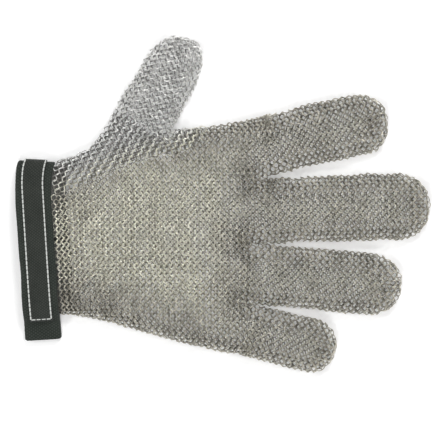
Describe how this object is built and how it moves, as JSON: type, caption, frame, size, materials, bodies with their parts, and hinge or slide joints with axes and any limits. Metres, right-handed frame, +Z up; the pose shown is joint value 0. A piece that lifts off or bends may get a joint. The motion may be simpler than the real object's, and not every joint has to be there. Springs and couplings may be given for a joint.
{
  "type": "chainmail glove",
  "caption": "Five-finger glove of steel ring mail with a dark woven wrist band, lying flat and empty with its back up.",
  "frame": {"origin": "on the surface that the glove lies on, under the middle of its outline", "axes": "+X from the wrist to the fingers, +Y to the thumb side, +Z up, out of the back of the hand"},
  "size_m": [0.2394, 0.1944, 0.0136],
  "materials": {
    "mail_steel": "bright steel rings, satin, slightly warm",
    "webbing": "dark green-black woven webbing",
    "strip_cloth": "fine dark woven strip sewn on with pale thread"
  },
  "bodies": {
    "root": {"mail_palm": "mail_steel", "mail_thumb": "mail_steel", "mail_index": "mail_steel", "mail_middle": "mail_steel", "mail_ring": "mail_steel", "mail_little": "mail_steel", "wrist_band": "webbing", "closure_strip": "strip_cloth"}
  },
  "joints": []
}
